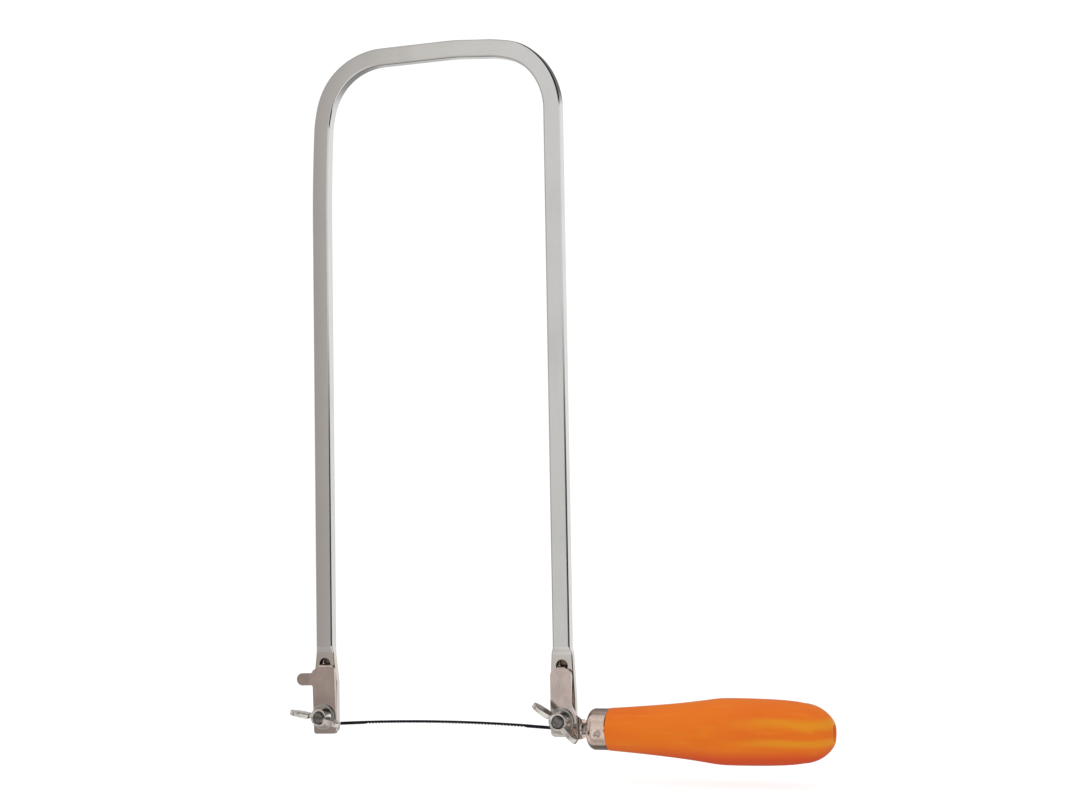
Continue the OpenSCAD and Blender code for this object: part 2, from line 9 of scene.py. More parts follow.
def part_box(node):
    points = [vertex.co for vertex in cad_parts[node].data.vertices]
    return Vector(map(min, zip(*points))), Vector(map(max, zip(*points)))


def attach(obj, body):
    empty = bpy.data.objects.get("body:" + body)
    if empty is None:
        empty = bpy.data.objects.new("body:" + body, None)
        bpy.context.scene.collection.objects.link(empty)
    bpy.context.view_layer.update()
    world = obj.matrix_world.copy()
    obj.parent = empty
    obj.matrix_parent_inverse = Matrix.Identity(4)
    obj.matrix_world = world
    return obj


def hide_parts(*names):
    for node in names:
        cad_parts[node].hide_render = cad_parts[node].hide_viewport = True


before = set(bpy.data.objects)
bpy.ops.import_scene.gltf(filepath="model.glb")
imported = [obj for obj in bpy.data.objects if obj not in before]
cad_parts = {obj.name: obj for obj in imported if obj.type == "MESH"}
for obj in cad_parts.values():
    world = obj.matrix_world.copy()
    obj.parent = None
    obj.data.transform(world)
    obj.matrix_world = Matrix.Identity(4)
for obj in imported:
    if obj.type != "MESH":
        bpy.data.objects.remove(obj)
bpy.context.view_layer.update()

MM = 0.001
FULL_TURN = 2 * math.pi
QUARTER_TURN = FULL_TURN / 4
CUT_SLACK = 0.0001 * MM
scene = bpy.context.scene


# Where the pieces sit, taken from the CAD nodes

def ends_of(node):
    """The lowest and the highest corner of a CAD node."""
    return [Vector(corner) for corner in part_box(node)]


def middle(node):
    low, high = ends_of(node)
    return (low + high) / 2


toe_bolt_at = middle("toe_clamp_bolt")
heel_bolt_at = middle("heel_clamp_bolt")
bow_low, bow_high = ends_of("bow_frame")
ferrule_low, ferrule_high = ends_of("ferrule")
grip_low, grip_high = ends_of("handle")
blade_low, blade_high = ends_of("saw_blade")
bow_mid_y = (bow_low.y + bow_high.y) / 2
grip_mid_y = (ferrule_low.y + ferrule_high.y) / 2
grip_mid_z = (ferrule_low.z + ferrule_high.z) / 2


# Ways of making a shape

def as_mesh(shape, name):
    """The shape as a mesh. The shape itself is let go."""
    mesh = bpy.data.meshes.new(name)
    shape.to_mesh(mesh)
    shape.free()
    return mesh


def placed(name, data):
    """An object in the scene, at the origin."""
    thing = bpy.data.objects.new(name, data)
    scene.collection.objects.link(thing)
    return thing


def kept(shape, name, body, nodes, finish, sharp=None, level=False):
    """Makes the shape a piece that rides a body and stands for CAD nodes."""
    bmesh.ops.recalc_face_normals(shape, faces=shape.faces)
    for face in shape.faces:
        face.smooth = True
    if sharp:
        for edge in shape.edges:
            edge.smooth = len(edge.link_faces) != 2 or edge.calc_face_angle() < math.radians(sharp)
    mesh = as_mesh(shape, name)
    mesh.materials.append(finish)
    piece = placed(name, mesh)
    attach(piece, body)
    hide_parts(*nodes)
    if level:
        piece.modifiers.new("level_faces", "WEIGHTED_NORMAL").keep_sharp = True


def worked(mesh, *steps):
    """The mesh put through modifiers, each given as its kind and settings, as a shape."""
    blank = placed("blank", mesh)
    for kind, settings in steps:
        step = blank.modifiers.new(kind.lower(), kind)
        for key, value in settings.items():
            setattr(step, key, value)
    bpy.context.view_layer.update()
    finished = blank.evaluated_get(bpy.context.evaluated_depsgraph_get())
    done = bpy.data.meshes.new_from_object(finished)
    shape = bmesh.new()
    shape.from_mesh(done)
    bpy.data.objects.remove(blank)
    bpy.data.meshes.remove(done)
    return shape


def cutting(tool):
    """The step that takes a tool's shape away."""
    return ("BOOLEAN", {"operation": "DIFFERENCE", "solver": "EXACT", "object": tool})


def cut_out(shape, name, block):
    """The shape with a block cut out of it."""
    tool = placed(name, as_mesh(block, name))
    left = worked(as_mesh(shape, "uncut"), cutting(tool))
    bpy.data.objects.remove(tool)
    return left


def merged_copy(node):
    """A copy of a CAD node's mesh, its loose triangles joined and its flat faces made whole."""
    shape = bmesh.new()
    shape.from_mesh(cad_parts[node].data)
    bmesh.ops.remove_doubles(shape, verts=shape.verts, dist=0.001 * MM)
    bmesh.ops.dissolve_limit(
        shape, angle_limit=math.radians(0.4), verts=shape.verts, edges=shape.edges, delimit=set()
    )
    return shape


def softened(shape, edges, width, segments=3):
    """The edges rounded over, as tumbling and plating leave them."""
    bmesh.ops.bevel(
        shape, geom=edges, offset=width, offset_type="OFFSET", segments=segments, profile=0.5,
        affect="EDGES", clamp_overlap=True, material=-1,
    )


def sharp_edges(shape, angle):
    return [
        edge for edge in shape.edges
        if len(edge.link_faces) == 2 and edge.calc_face_angle() > math.radians(angle)
    ]


def outline_loop(shape, points, closed=False):
    """Points joined one after another by edges."""
    corners = [shape.verts.new(point) for point in points]
    pairs = list(zip(corners, corners[1:]))
    if closed:
        pairs.append((corners[-1], corners[0]))
    return corners + [shape.edges.new(pair) for pair in pairs]


def turned(points, centre, axis, steps, closed=False):
    """An outline turned all the way round an axis, as on a lathe."""
    shape = bmesh.new()
    outline = outline_loop(shape, points, closed)
    bmesh.ops.spin(
        shape, geom=outline, cent=centre, axis=axis, angle=FULL_TURN, steps=steps, use_merge=True
    )
    bmesh.ops.remove_doubles(shape, verts=shape.verts, dist=0.002 * MM)
    return shape


def swung(shape, part, angle, axis):
    """A part of the shape turned about an axis through the origin."""
    bmesh.ops.rotate(shape, verts=part, cent=(0, 0, 0), matrix=Matrix.Rotation(angle, 3, axis))


def domed(radius, height, rise, run, count):
    """The outline of a domed head, from its rim to its crown."""
    return interpolate_bezier(
        (radius, 0, 0), (radius, rise * height, 0), (run * radius, height, 0), (0, height, 0), count
    )


def eased(share):
    return share * share * (3 - 2 * share)


def gone_by(value, start, end):
    """How much of the way from start to end lies behind: 0 before it and 1 past it."""
    return min(1, max(0, (value - start) / (end - start)))


# The bow

BAR_WIDTH = 8.0 * MM
BAR_THICK = 5.3 * MM
BAR_CORNER = 0.8 * MM
BEND_R = 31.5 * MM
END_WIDTH = 11.6 * MM
END_THICK = 3.4 * MM
END_CORNER = 2.2 * MM
END_EDGE = 0.5 * MM
SLOPE_TOP_Z = 35.4 * MM
SLOPE_BASE_Z = 32.0 * MM
HOOK_HOLE_Z = 27.1 * MM
HOOK_HOLE_R = 2.65 * MM
HOOK_HOLE_RIM = 0.22 * MM
NECK_HOLE = 5.1 * MM
# The share of an end's spread that its slope takes, and the length that takes the rest
TOE_FLARE = (0.2, 13 * MM)
HEEL_FLARE = (0.47, 20 * MM)
# The toe arm leans in before its bend: how far, and the heights where it starts, is full and ends
LEAN, LEAN_BASE_Z, LEAN_FULL_Z, LEAN_END_Z = 1.4 * MM, 228 * MM, 277 * MM, 302 * MM
# The top dips before the heel bend: how far, and where, measured back from the heel arm
DIP, DIP_START, DIP_FULL, DIP_END = 1.45 * MM, 50 * MM, 26 * MM, 9 * MM


def drawn_on(shape, face, move):
    """The bar carried on from its end face."""
    made = bmesh.ops.extrude_face_region(shape, geom=[face, *face.edges, *face.verts])["geom"]
    end = next(part for part in made if isinstance(part, bmesh.types.BMFace))
    bmesh.ops.translate(shape, vec=move, verts=end.verts)
    return end


def bent_over(shape, face, centre):
    """The bar carried on from its end face round a quarter bend."""
    made = bmesh.ops.spin(
        shape, geom=[face, *face.edges, *face.verts], cent=centre, axis=(0, 1, 0),
        angle=QUARTER_TURN, steps=28,
    )["geom_last"]
    return next(part for part in made if isinstance(part, bmesh.types.BMFace))


def reforged(face, old, new):
    """An end face's section changed, each given as its width, thickness and edge rounding."""
    centre = face.calc_center_median()
    for corner in face.verts:
        for axis in (0, 1):
            side = math.copysign(1, corner.co[axis] - centre[axis])
            into_edge = corner.co[axis] - centre[axis] - side * (old[axis] / 2 - old[2])
            flat_half = new[axis] / 2 - new[2]
            corner.co[axis] = centre[axis] + side * flat_half + into_edge * new[2] / old[2]


def forged_end(shape, face, flare):
    """The end of an arm: spread wide, thinned to a flat and rounded off at its lower corners."""
    section, height = (BAR_WIDTH, BAR_THICK, BAR_CORNER), SLOPE_TOP_Z
    first_share, flare_len = flare
    spread = END_WIDTH - BAR_WIDTH
    steps, corner_steps = 12, 8
    stations = []
    for step in range(1, steps + 1):
        down = step / steps
        stations.append((
            SLOPE_TOP_Z + (SLOPE_BASE_Z - SLOPE_TOP_Z) * down,
            BAR_WIDTH + spread * first_share * eased(down),
            BAR_THICK + (END_THICK - BAR_THICK) * (0.5 * down + 0.5 * eased(down)),
            BAR_CORNER + (END_EDGE - BAR_CORNER) * down,
        ))
    for step in range(1, steps + 1):
        down = step / steps
        stations.append((
            SLOPE_BASE_Z - flare_len * down,
            BAR_WIDTH + spread * (first_share + (1 - first_share) * down),
            END_THICK, END_EDGE,
        ))
    for step in range(corner_steps + 1):
        turn = QUARTER_TURN * step / corner_steps
        stations.append((
            bow_low.z + END_CORNER * (1 - math.sin(turn)),
            END_WIDTH - 2 * END_CORNER * (1 - math.cos(turn)),
            END_THICK, END_EDGE,
        ))
    for z, *next_section in stations:
        face = drawn_on(shape, face, (0, 0, z - height))
        reforged(face, section, next_section)
        section, height = next_section, z
    softened(shape, list(face.edges), 0.25 * MM, 2)


def strayed(place):
    """How far the hand-bent bar strays from a true line, by the lean and the dip."""
    up = gone_by(place.z, LEAN_BASE_Z, LEAN_FULL_Z)
    straightened = eased(gone_by(place.z, LEAN_FULL_Z, LEAN_END_Z))
    toe_side = place.x < (toe_bolt_at.x + heel_bolt_at.x) / 2
    lean = LEAN * up * up * (1 - straightened) if toe_side else 0
    short_of_heel = heel_bolt_at.x - place.x
    near = eased(gone_by(short_of_heel, DIP_START, DIP_FULL))
    past = eased(gone_by(short_of_heel, DIP_FULL, DIP_END))
    return Vector((lean, 0, -DIP * near * (1 - past) * eased(up)))


def bow_bar():
    """One bar: up the toe arm, over the top, down the heel arm, with both ends forged flat."""
    shape = bmesh.new()
    corners = [
        shape.verts.new((toe_bolt_at.x + x * BAR_WIDTH / 2, bow_mid_y + y * BAR_THICK / 2, SLOPE_TOP_Z))
        for x, y in ((-1, -1), (1, -1), (1, 1), (-1, 1))
    ]
    shape.faces.new(corners)
    bmesh.ops.bevel(
        shape, geom=corners, offset=BAR_CORNER, offset_type="OFFSET", segments=8, profile=0.5,
        affect="VERTICES", material=-1,
    )
    shape.faces.ensure_lookup_table()
    toe_end = shape.faces[0]
    bend_z = bow_high.z - BAR_WIDTH / 2 - BEND_R
    rise = bend_z - SLOPE_TOP_Z
    span = heel_bolt_at.x - toe_bolt_at.x - 2 * BEND_R
    lean_len, steps = bend_z - LEAN_BASE_Z, 16
    face = drawn_on(shape, toe_end, (0, 0, rise - lean_len))
    for _ in range(steps):
        face = drawn_on(shape, face, (0, 0, lean_len / steps))
    face = bent_over(shape, face, (toe_bolt_at.x + BEND_R, bow_mid_y, bend_z))
    for _ in range(steps):
        face = drawn_on(shape, face, (span / steps, 0, 0))
    face = bent_over(shape, face, (heel_bolt_at.x - BEND_R, bow_mid_y, bend_z))
    heel_end = drawn_on(shape, face, (0, 0, -rise))
    for corner in shape.verts:
        corner.co += strayed(corner.co)
    forged_end(shape, toe_end, TOE_FLARE)
    forged_end(shape, heel_end, HEEL_FLARE)
    bmesh.ops.recalc_face_normals(shape, faces=shape.faces)

    drills = bmesh.new()
    for x in (toe_bolt_at.x, heel_bolt_at.x):
        made = bmesh.ops.create_cone(
            drills, cap_ends=True, segments=72, radius1=HOOK_HOLE_R, radius2=HOOK_HOLE_R,
            depth=4 * BAR_THICK,
        )["verts"]
        swung(drills, made, QUARTER_TURN, "X")
        bmesh.ops.translate(drills, verts=made, vec=(x, bow_mid_y, HOOK_HOLE_Z))
        made = bmesh.ops.create_cube(drills, size=NECK_HOLE)["verts"]
        bmesh.ops.translate(drills, verts=made, vec=(x, bow_mid_y, toe_bolt_at.z))
    shape = cut_out(shape, "drills", drills)

    rims = []
    for edge in sharp_edges(shape, 50):
        for x in (toe_bolt_at.x, heel_bolt_at.x):
            reach = [math.hypot(end.co.x - x, end.co.z - HOOK_HOLE_Z) for end in edge.verts]
            if all(abs(r - HOOK_HOLE_R) < 0.05 * MM for r in reach):
                rims.append(edge)
    softened(shape, rims, HOOK_HOLE_RIM)
    return shape


# The clamps

HOOK_GAP = 0.12 * MM
HOOK_PLAY = 0.07 * MM
HOOK_SPREAD = 0.6
PLATE_EDGE = 0.38 * MM
TOE_SHOULDER = Vector((-1.75, 0, 26.75)) * MM
TOE_SHOULDER_FALL = math.radians(36)
TOE_SHOULDER_LEN = 5.3 * MM
# The blade is bowed on one arc, so the arc's radius and centre tell its teeth from its back
BLADE_ARC_R = 813.25 * MM
blade_arc_z = blade_high.z - 0.7 * MM - BLADE_ARC_R


def shoulder_block(front_y, arm_x):
    """The block that takes the toe plate's shoulder down to a slope beside the hook."""
    block = bmesh.new()
    made = bmesh.ops.create_cube(block, size=1)["verts"]
    over, height = 1 * MM, 4 * MM
    depth = bow_mid_y - END_THICK / 2 - front_y + over
    bmesh.ops.scale(block, verts=made, vec=(TOE_SHOULDER_LEN, depth, height))
    bmesh.ops.translate(block, verts=made, vec=(-TOE_SHOULDER_LEN / 2, 0, height / 2))
    swung(block, made, -TOE_SHOULDER_FALL, "Y")
    bmesh.ops.translate(
        block, verts=made, vec=TOE_SHOULDER + Vector((arm_x, front_y - over + depth / 2, 0))
    )
    return block


def jaw_plate(node, arm_x, sloped):
    """A stamped plate, its sheared edges rubbed over and its hook hammered out behind the bow."""
    shape = merged_copy(node)
    if sloped:
        shape = cut_out(shape, "shoulder_block", shoulder_block(ends_of(node)[0].y, arm_x))
    behind_y = bow_mid_y + END_THICK / 2 + HOOK_GAP
    everything = [*shape.verts, *shape.edges, *shape.faces]
    bmesh.ops.bisect_plane(
        shape, geom=everything, dist=CUT_SLACK, plane_co=(0, behind_y, 0), plane_no=(0, 1, 0)
    )
    for rise in (-0.5, -0.25, 0, 0.25, 0.5):
        hook = [face for face in shape.faces if face.calc_center_median().y > behind_y]
        edges = {edge for face in hook for edge in face.edges}
        ends = {end for face in hook for end in face.verts}
        bmesh.ops.bisect_plane(
            shape, geom=[*hook, *edges, *ends], dist=CUT_SLACK, plane_no=(0, 0, 1),
            plane_co=(0, 0, HOOK_HOLE_Z + rise * HOOK_HOLE_R),
        )
    round_r = HOOK_HOLE_R - HOOK_PLAY
    for corner in shape.verts:
        if corner.co.y > behind_y + 0.01 * MM:
            off = corner.co.x - arm_x
            reach = math.sqrt(max(0, round_r ** 2 - (corner.co.z - HOOK_HOLE_Z) ** 2))
            reach += HOOK_SPREAD * (corner.co.y - behind_y)
            corner.co.x = arm_x + math.copysign(max(abs(off), reach), off)
    softened(shape, sharp_edges(shape, 40), PLATE_EDGE, 4)
    return shape


def threaded_bolt(node):
    """A coach bolt: round head, square neck and a cut thread with a chamfered end."""
    low, high = ends_of(node)
    x, z = (low.x + high.x) / 2, (low.z + high.z) / 2
    thread_r, root_r, pitch, chamfer, around = 2.48 * MM, 2.08 * MM, 0.8 * MM, 0.55 * MM, 48
    head_h, neck_len, neck_w = 2.4 * MM, 3.2 * MM, 4.9 * MM
    neck_back = high.y - head_h
    head_r = (high.x - low.x) / 2

    rim = [(0, 0), (head_r - 0.25 * MM, 0)]
    rim += [(p.x, max(p.y, 0.18 * MM)) for p in domed(head_r, head_h, 0.9, 0.55, 18)]
    shape = turned([(x + r, neck_back + up, z) for r, up in rim], (x, 0, z), (0, 1, 0), 72)

    neck = bmesh.ops.create_cube(shape, size=1)["verts"]
    bmesh.ops.scale(shape, verts=neck, vec=(neck_w, neck_len, neck_w))
    bmesh.ops.translate(shape, verts=neck, vec=(x, neck_back + 0.1 * MM - neck_len / 2, z))
    softened(shape, list({edge for corner in neck for edge in corner.link_edges}), 0.25 * MM, 2)

    rod = bmesh.new()
    start, end = low.y, neck_back
    outline = []
    for turn in range(int((end - start) / pitch) + 3):
        for share, r in ((0, root_r), (0.32, thread_r), (0.44, thread_r), (0.76, root_r)):
            outline.append((x + r, start - pitch + (turn + share) * pitch, z))
    bmesh.ops.spin(
        rod, geom=outline_loop(rod, outline), cent=(x, 0, z), axis=(0, 1, 0),
        dvec=(0, pitch / around, 0), angle=FULL_TURN, steps=around,
    )
    bmesh.ops.remove_doubles(rod, verts=rod.verts, dist=0.005 * MM)
    for y, way in ((start, -1), (end, 1)):
        bmesh.ops.bisect_plane(
            rod, geom=[*rod.verts, *rod.edges, *rod.faces], dist=CUT_SLACK, plane_co=(x, y, z),
            plane_no=(0, way, 0), clear_outer=True,
        )
        bmesh.ops.edgeloop_fill(rod, edges=[edge for edge in rod.edges if edge.is_boundary])
    for corner in rod.verts:
        out = Vector((corner.co.x - x, 0, corner.co.z - z))
        most = thread_r - max(0, start + chamfer - corner.co.y)
        if out.length > most:
            corner.co += out * (most / out.length - 1)
    thread = as_mesh(rod, "thread")
    shape.from_mesh(thread)
    bpy.data.meshes.remove(thread)
    return shape


def flat_washer(node):
    """A punched ring with rolled edges."""
    low, high = ends_of(node)
    x, z = (low.x + high.x) / 2, (low.z + high.z) / 2
    outer, inner = (high.x - low.x) / 2, 2.75 * MM
    shape = turned(
        [(x + inner, low.y, z), (x + outer, low.y, z), (x + outer, high.y, z), (x + inner, high.y, z)],
        (x, 0, z), (0, 1, 0), 96, closed=True,
    )
    softened(shape, sharp_edges(shape, 40), 0.22 * MM)
    return shape


def forged_nut(node, turn):
    """A drop-forged wing nut: hub and two flat wings that run together in the die."""
    low, high = ends_of(node)
    axis_x, axis_z, back_y = (low.x + high.x) / 2, (low.z + high.z) / 2, high.y
    hub_h, base_r, front_r, bore_r = 4.2 * MM, 4.8 * MM, 3.9 * MM, 2.55 * MM
    lead_in = 0.5 * MM
    wing_out, wing_half, wing_thick, wing_wide = 7.85 * MM, 6.0 * MM, 1.12 * MM, 3.2 * MM
    slant = math.radians(27)
    centre, upright = (0, 0, 0), (0, 0, 1)

    hub = [(0, 0, 0), (base_r, 0, 0), (front_r, 0, hub_h), (0, 0, hub_h)]
    nut = turned(hub, centre, upright, 72)
    for half_turn in (0, FULL_TURN / 2):
        wing = bmesh.ops.create_cone(
            nut, cap_ends=True, segments=96, radius1=1, radius2=1, depth=2
        )["verts"]
        swung(nut, wing, QUARTER_TURN, "X")
        bmesh.ops.scale(nut, verts=wing, vec=(wing_half, wing_thick, wing_wide))
        bmesh.ops.translate(nut, verts=wing, vec=(wing_out, 0, 0))
        swung(nut, wing, -slant, "Y")
        bmesh.ops.translate(nut, verts=wing, vec=(0, 0, hub_h / 2))
        swung(nut, wing, half_turn, "Z")
    bmesh.ops.recalc_face_normals(nut, faces=nut.faces)
    bore = [
        (0, 0, -hub_h), (bore_r, 0, -hub_h), (bore_r, 0, hub_h - lead_in),
        (bore_r + lead_in, 0, hub_h), (front_r, 0, hub_h), (front_r, 0, 4 * hub_h), (0, 0, 4 * hub_h),
    ]
    drill = turned(bore, centre, upright, 72)
    bmesh.ops.recalc_face_normals(drill, faces=drill.faces)
    to_bolt = Matrix.Translation((axis_x, back_y, axis_z)) @ Matrix.Rotation(QUARTER_TURN, 4, "X")
    for shape in (nut, drill):
        bmesh.ops.transform(shape, verts=shape.verts, matrix=to_bolt @ Matrix.Rotation(turn, 4, "Z"))
    tool = placed("nut_drill", as_mesh(drill, "nut_drill"))
    shape = worked(
        as_mesh(nut, "nut_blank"),
        ("REMESH", {"mode": "VOXEL", "voxel_size": 0.14 * MM}),
        ("SMOOTH", {"factor": 0.5, "iterations": 14}),
        cutting(tool),
        ("REMESH", {"mode": "VOXEL", "voxel_size": 0.12 * MM}),
        ("SMOOTH", {"factor": 0.5, "iterations": 10}),
    )
    bpy.data.objects.remove(tool)
    return shape


def toothed_blade():
    """The blade with its teeth set a little to either side in turn."""
    shape = merged_copy("saw_blade")
    mid_x = (blade_low.x + blade_high.x) / 2
    tip_depth, toothed_half, tooth_set = 0.62 * MM, 0.46 * (blade_high.x - blade_low.x), 0.08 * MM
    tips = [
        corner for corner in shape.verts
        if BLADE_ARC_R - math.hypot(corner.co.x - mid_x, corner.co.z - blade_arc_z) > tip_depth
        and abs(corner.co.x - mid_x) < toothed_half
    ]
    tips.sort(key=lambda corner: corner.co.x)
    for place, corner in enumerate(tips):
        corner.co.y += tooth_set if place // 2 % 2 else -tooth_set
    return shape


# The handle

DENT_R = 2.3 * MM
DENT_DEPTH = 0.48 * MM
pin_at = middle("ferrule_pin")
dent_out = Vector((0, pin_at.y - grip_mid_y, pin_at.z - grip_mid_z)).normalized()
dent_at = Vector((pin_at.x, grip_mid_y, grip_mid_z)) + dent_out * (ferrule_high.z - ferrule_low.z) / 2


def ferrule_cup():
    """A drawn steel cup with a round shoulder, and the dent where the brad was punched in."""
    length = ferrule_high.x - ferrule_low.x
    outer = (ferrule_high.z - ferrule_low.z) / 2
    wall, shoulder, hole, rim = 0.9 * MM, 3.2 * MM, 2.7 * MM, 0.2 * MM
    shoulder_steps, side_steps = 16, 21
    outline = [(0, hole), (0, (hole + outer - shoulder) / 2), (0, outer - shoulder)]
    for step in range(1, shoulder_steps + 1):
        turn = QUARTER_TURN * step / shoulder_steps
        outline.append((shoulder * (1 - math.cos(turn)), outer - shoulder * (1 - math.sin(turn))))
    for step in range(1, side_steps + 1):
        outline.append((shoulder + (length - shoulder - rim) * step / side_steps, outer))
    outline += [
        (length, outer - rim), (length, outer - wall), (shoulder, outer - wall),
        (wall, outer - shoulder), (wall, hole),
    ]
    points = [(ferrule_low.x + along, grip_mid_y - r, grip_mid_z) for along, r in outline]
    shape = turned(points, (0, grip_mid_y, grip_mid_z), (1, 0, 0), 224, closed=True)
    outside_r, side_x = outer - wall / 2 - 0.3 * MM, ferrule_low.x + shoulder / 3
    for corner in shape.verts:
        away = (corner.co - dent_at).length
        out = Vector((0, corner.co.y - grip_mid_y, corner.co.z - grip_mid_z))
        if away < DENT_R and out.length > outside_r and corner.co.x > side_x:
            sink = DENT_DEPTH * eased(1 - away / DENT_R)
            corner.co -= out.normalized() * sink
    return shape


def ferrule_brad():
    """The head of the brad, domed and sunk in the dent, and its shank."""
    head_r, head_h, shank_r, shank_len = 1.1 * MM, 0.42 * MM, 0.75 * MM, 6 * MM
    outline = [
        (0, -shank_len), (0.3 * shank_r, -shank_len), (shank_r, -shank_len * 0.8),
        (shank_r, -0.2 * MM), (head_r, -0.1 * MM),
    ]
    outline += [(p.x, p.y) for p in domed(head_r, head_h, 0.7, 0.6, 12)]
    shape = turned([(r, 0, up) for r, up in outline], (0, 0, 0), (0, 0, 1), 40)
    out = (dent_at - Vector((dent_at.x, grip_mid_y, grip_mid_z))).normalized()
    seat = dent_at - out * (DENT_DEPTH + 0.05 * MM)
    turn = Vector((0, 0, 1)).rotation_difference(out).to_matrix()
    bmesh.ops.rotate(shape, verts=shape.verts, cent=(0, 0, 0), matrix=turn)
    bmesh.ops.translate(shape, verts=shape.verts, vec=seat)
    return shape


def turned_grip():
    """The handle off the lathe: tenon, neck, swell and rounded butt with a centre hole."""
    wood_x, butt_x = ferrule_high.x, grip_high.x
    length = butt_x - wood_x
    neck_r, swell_r, shoulder_r = 9.1 * MM, (grip_high.z - grip_low.z) / 2, 12.4 * MM
    swell_at, butt_len, flat_r = 54.1 * MM, 12.2 * MM, 4.5 * MM
    hole_r, hole_depth, tenon_r = 3.7 * MM, 1.4 * MM, 7.9 * MM
    lip, seat = 0.3 * MM, 0.02 * MM
    butt_start = length - butt_len
    hole_end = length - hole_depth
    tenon_start = ferrule_low.x - wood_x
    slope = 0.098
    into_butt, out_of_shoulder = 0.16 * butt_len, 0.72 * butt_len
    runs = [
        ((seat, neck_r - lip), (seat, neck_r - 0.45 * lip), (0.45 * lip, neck_r), (lip, neck_r), 10),
        (
            (lip, neck_r), (0.87 * swell_at, neck_r + 0.65 * (swell_r - neck_r)),
            (0.77 * swell_at, swell_r), (swell_at, swell_r), 56,
        ),
        (
            (swell_at, swell_r), (swell_at + 0.82 * (butt_start - swell_at), swell_r),
            (butt_start - into_butt, shoulder_r + slope * into_butt), (butt_start, shoulder_r), 36,
        ),
        (
            (butt_start, shoulder_r),
            (butt_start + out_of_shoulder, shoulder_r - slope * out_of_shoulder),
            (length, 1.08 * flat_r), (length, flat_r), 40,
        ),
    ]
    outline = [
        (tenon_start + 1.2 * MM, 0), (tenon_start + 1.2 * MM, tenon_r - 1.5 * MM),
        (tenon_start + 2.7 * MM, tenon_r), (seat, tenon_r), (seat, neck_r - lip),
    ]
    for start, leave, arrive, end, count in runs:
        points = interpolate_bezier((*start, 0), (*leave, 0), (*arrive, 0), (*end, 0), count)
        outline += [(p.x, p.y) for p in points][(0 if start[0] == lip else 1):]
    outline += [
        (length - 0.03 * MM, hole_r + 0.25 * MM), (length - 0.12 * MM, hole_r + 0.06 * MM),
        (length - 0.35 * MM, hole_r), (hole_end + 0.4 * MM, hole_r - 0.05 * MM),
        (hole_end, hole_r - 0.5 * MM), (hole_end, 0),
    ]
    points = [(wood_x + along, grip_mid_y, grip_mid_z + r) for along, r in outline]
    return turned(points, (0, grip_mid_y, grip_mid_z), (1, 0, 0), 176)


# Finishes

class Signal:
    """A shader output that can be reckoned with."""

    def __init__(self, bench, socket):
        self.bench, self.socket = bench, socket

    def sum(self, operation, first, second):
        return self.bench.node("ShaderNodeMath", {"operation": operation}, {0: first, 1: second})

    def __add__(self, other):
        return self.sum("ADD", self, other)

    def __sub__(self, other):
        return self.sum("SUBTRACT", self, other)

    def __rsub__(self, other):
        return self.sum("SUBTRACT", other, self)

    def __mul__(self, other):
        return self.sum("MULTIPLY", self, other)

    def __truediv__(self, other):
        return self.sum("DIVIDE", self, other)

    def __rtruediv__(self, other):
        return self.sum("DIVIDE", other, self)

    __radd__ = __add__
    __rmul__ = __mul__


class Bench:
    """Builds the shader nodes of one tree."""

    def __init__(self, tree):
        self.tree = tree

    def node(self, kind, settings=None, sockets=None, output=0):
        made = self.tree.nodes.new(kind)
        for key, value in (settings or {}).items():
            if key == "stops":
                stops = made.color_ramp.elements
                while len(stops) < len(value):
                    stops.new(0.5)
                for stop, (place, colour) in zip(stops, value):
                    stop.position = place
                    stop.color = colour
            else:
                setattr(made, key, value)
        for key, value in (sockets or {}).items():
            self.feed(made.inputs[key], value)
        return Signal(self, made.outputs[output])

    def feed(self, socket, value):
        if isinstance(value, Signal):
            self.tree.links.new(value.socket, socket)
        else:
            socket.default_value = value

    def mix(self, share, first, second):
        return self.node("ShaderNodeMix", {"data_type": "RGBA"}, {0: share, 6: first, 7: second}, 2)

    def vector(self, operation, first, second=(0, 0, 0), output=0):
        return self.node("ShaderNodeVectorMath", {"operation": operation}, {0: first, 1: second}, output)

    def scaled(self, vector, share):
        return self.node("ShaderNodeVectorMath", {"operation": "SCALE"}, {0: vector, "Scale": share})

    def size(self, value):
        """A value without its sign."""
        return self.node("ShaderNodeMath", {"operation": "ABSOLUTE"}, {0: value})

    def axes(self, vector):
        first = self.node("ShaderNodeSeparateXYZ", None, {0: vector})
        return [Signal(self, axis) for axis in first.socket.node.outputs]

    def graded(self, value, stops):
        return self.node("ShaderNodeValToRGB", {"stops": stops}, {"Fac": value})

    def ramped(self, value, low, high):
        """0 below low, 1 above high and smooth between them."""
        return self.node(
            "ShaderNodeMapRange", {"interpolation_type": "SMOOTHSTEP"}, {"Value": value, 1: low, 2: high}
        )


METAL = {"Metallic": 1.0}


